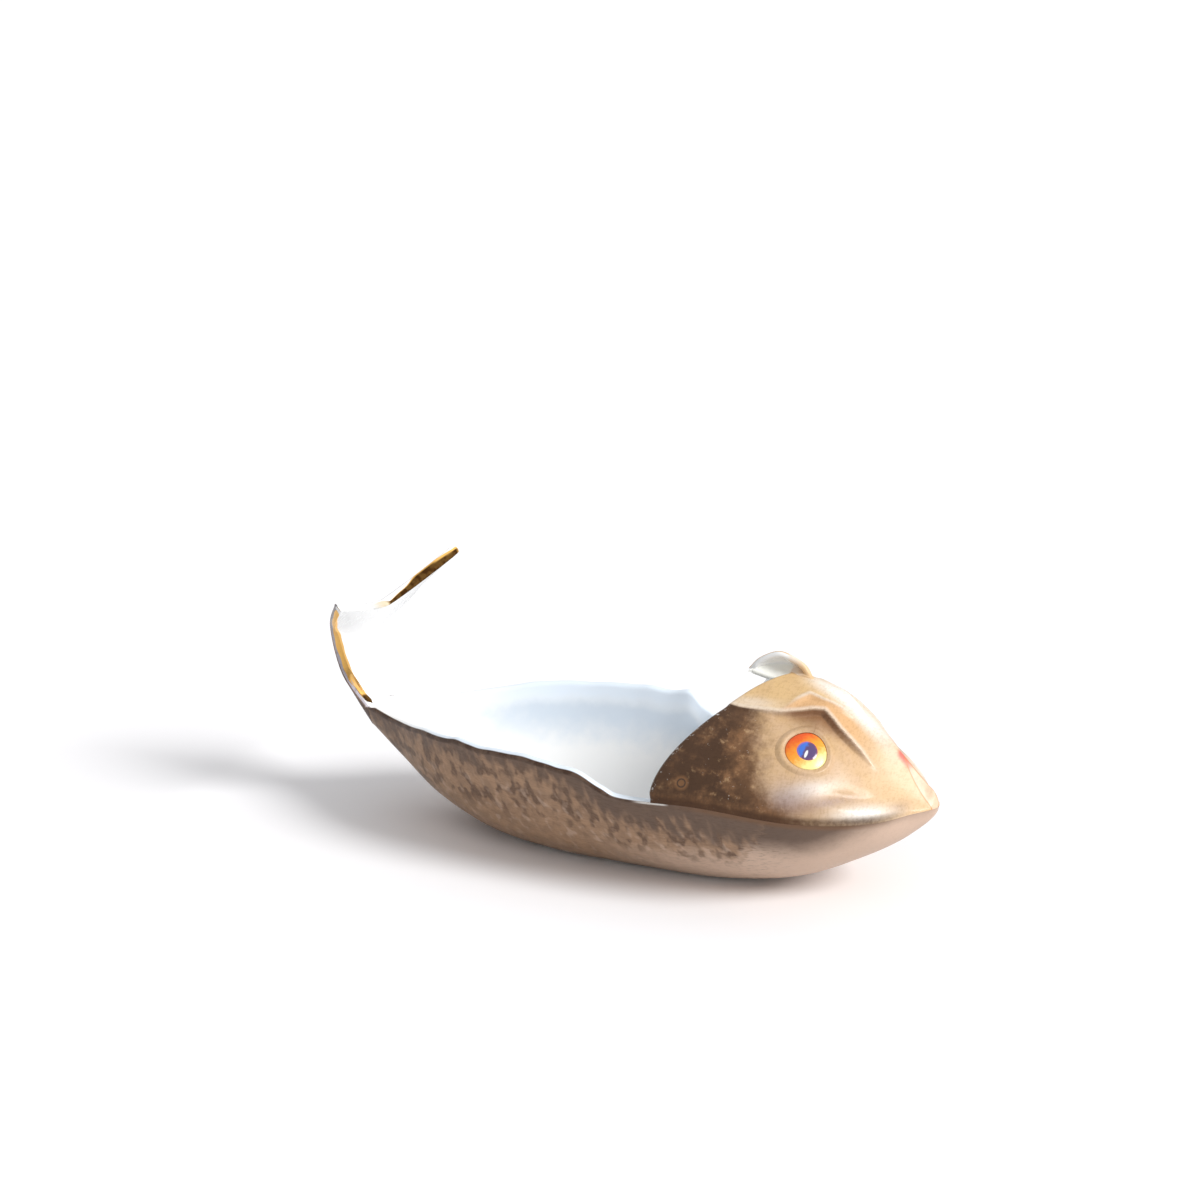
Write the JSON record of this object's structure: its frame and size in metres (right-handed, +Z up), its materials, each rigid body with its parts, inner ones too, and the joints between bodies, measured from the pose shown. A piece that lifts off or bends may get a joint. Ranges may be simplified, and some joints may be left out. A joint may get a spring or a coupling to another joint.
{
  "type": "salt cellar",
  "caption": "Open porcelain dish in the form of a fish for table salt, with a hollow head over its front and an upturned forked tail with a gilded edge.",
  "frame": {"origin": "on the flat foot of the dish, on the table", "axes": "+X forward to the snout, +Y to the fish's left, +Z up"},
  "size_m": [0.1307, 0.0542, 0.0516],
  "materials": {
    "painted_porcelain": "gloss",
    "head_porcelain": "gloss",
    "white_porcelain": "gloss",
    "gold_lustre": "polished",
    "eye_glaze": "gloss",
    "pupil_enamel": "gloss"
  },
  "bodies": {
    "root": {"dish_hull": "painted_porcelain", "head_hood": "head_porcelain", "tail_fin": "white_porcelain", "tail_gilding": "gold_lustre", "dorsal_curl": "white_porcelain", "eyelid_right": "head_porcelain", "eyelid_left": "head_porcelain", "eyeball_right": "eye_glaze", "eyeball_left": "eye_glaze", "pupil_right": "pupil_enamel", "pupil_left": "pupil_enamel"}
  },
  "joints": []
}
